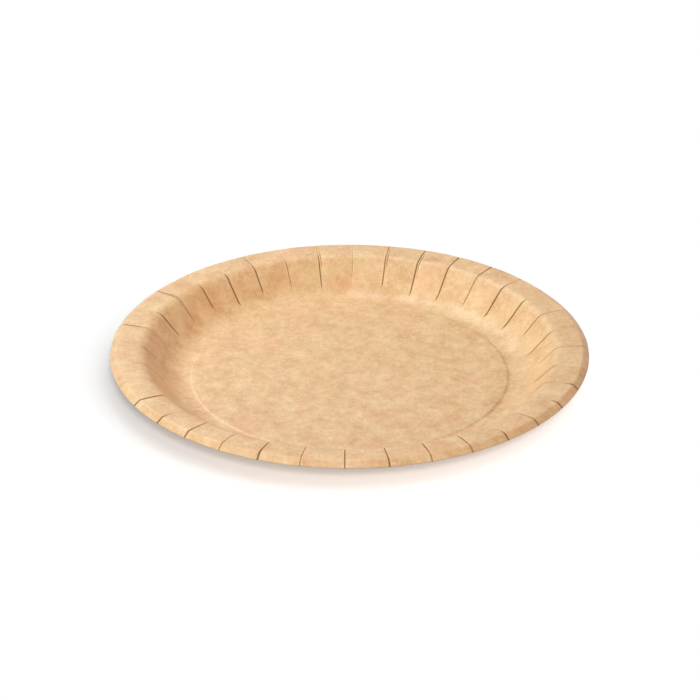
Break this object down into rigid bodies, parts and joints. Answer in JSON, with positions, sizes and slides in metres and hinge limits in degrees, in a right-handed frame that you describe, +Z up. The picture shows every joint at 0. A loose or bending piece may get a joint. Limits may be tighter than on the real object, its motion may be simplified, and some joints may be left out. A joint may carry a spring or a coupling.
{
  "type": "paper plate",
  "caption": "Round disposable plate pressed from kraft board, with a pleated wall and a flat rim that turns down at its edge. Holds food on its sunken base.",
  "frame": {"origin": "centre of the plate on the table it stands on", "axes": "+Z up out of the plate's well, +X and +Y radial, one pleat on +X"},
  "size_m": [0.23, 0.23, 0.0164],
  "materials": {
    "kraft_board": "uncoated brown kraft board, pressed smooth, with a faint sheen"
  },
  "bodies": {
    "root": {"plate": "kraft_board"}
  },
  "joints": []
}
